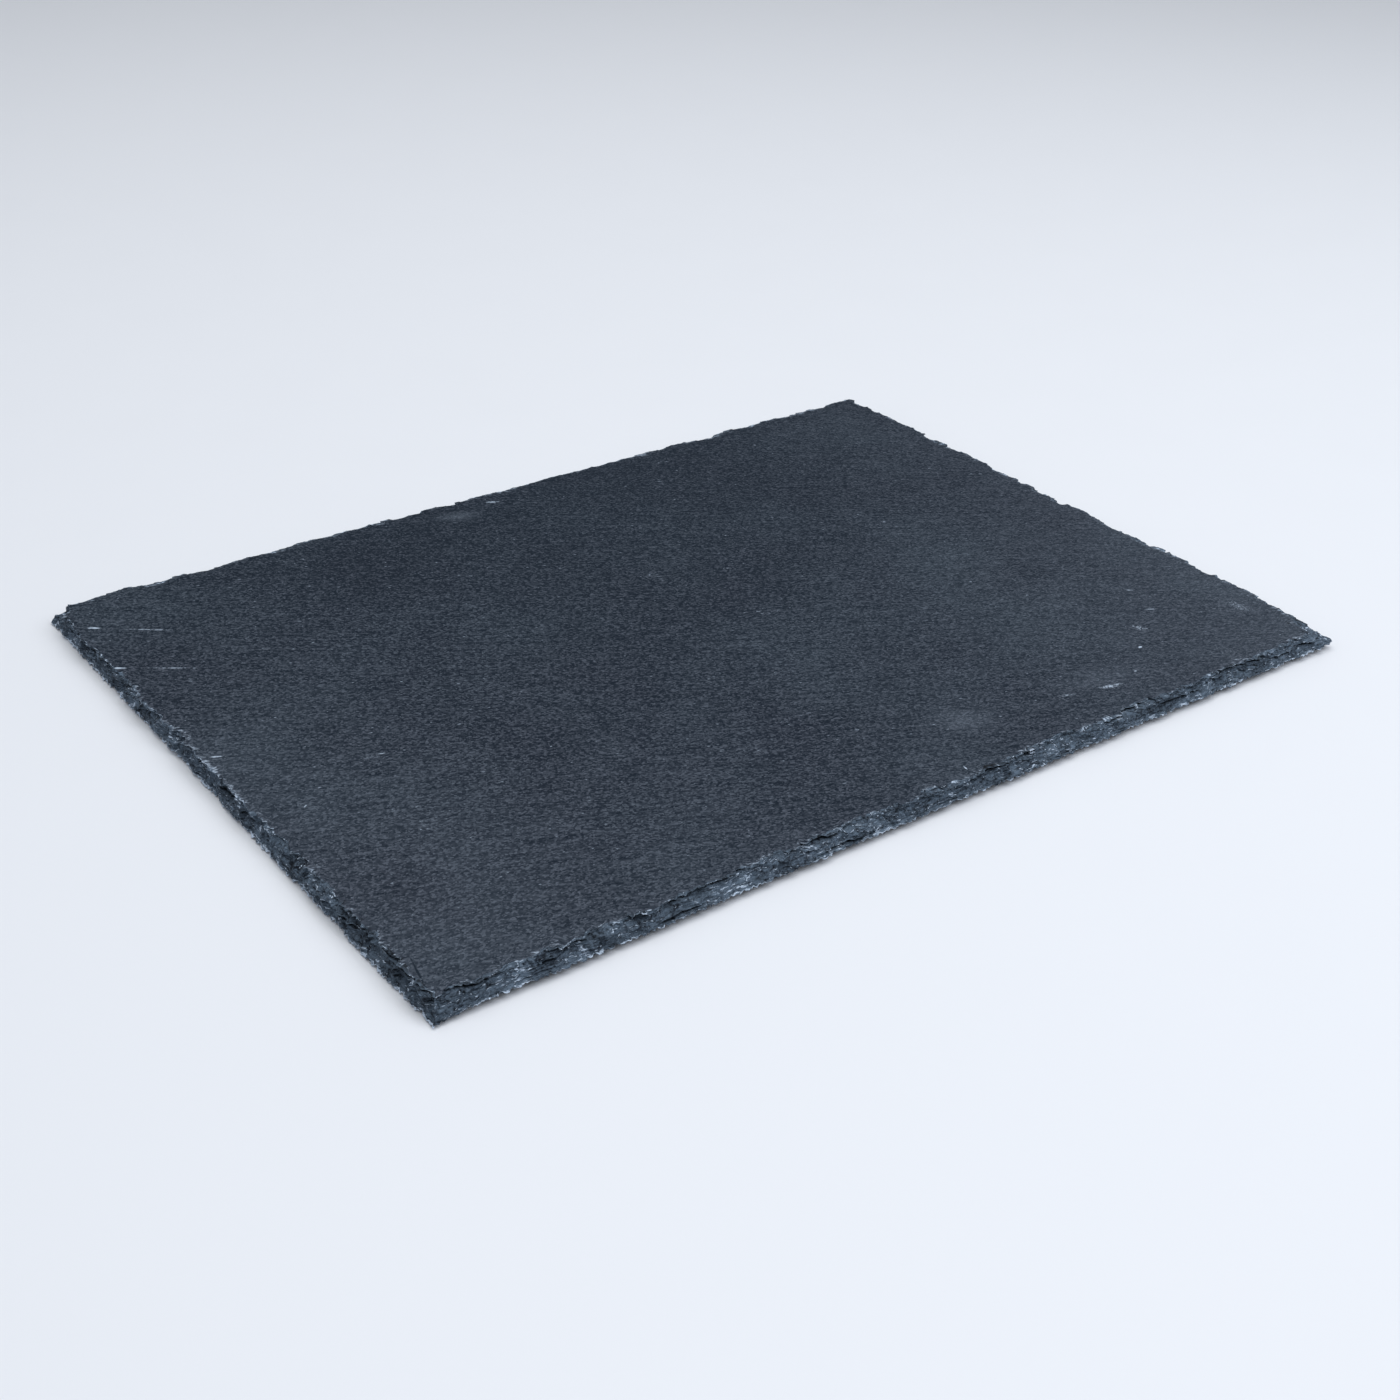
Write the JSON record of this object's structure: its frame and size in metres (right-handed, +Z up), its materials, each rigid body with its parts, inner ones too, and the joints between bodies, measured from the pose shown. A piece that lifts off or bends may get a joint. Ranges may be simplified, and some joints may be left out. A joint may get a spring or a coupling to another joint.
{
  "type": "slate board",
  "caption": "Flat rectangular board of riven dark blue-grey slate with hand-broken, flaring edges, standing on small round stick-on feet.",
  "frame": {"origin": "on the surface the board stands on, under the middle of the board", "axes": "+X along the board's long side, +Y towards its back, +Z up out of the working face"},
  "size_m": [0.4, 0.3, 0.008],
  "materials": {
    "riven_slate": "matte",
    "foot_foam": "matte",
    "foot_adhesive": "satin"
  },
  "bodies": {
    "root": {"slate_slab": "riven_slate", "foot_pad_front_left": "foot_foam", "foot_pad_front_right": "foot_foam", "foot_pad_back_left": "foot_foam", "foot_pad_back_right": "foot_foam", "adhesive_disc_front_left": "foot_adhesive", "adhesive_disc_front_right": "foot_adhesive", "adhesive_disc_back_left": "foot_adhesive", "adhesive_disc_back_right": "foot_adhesive"}
  },
  "joints": []
}
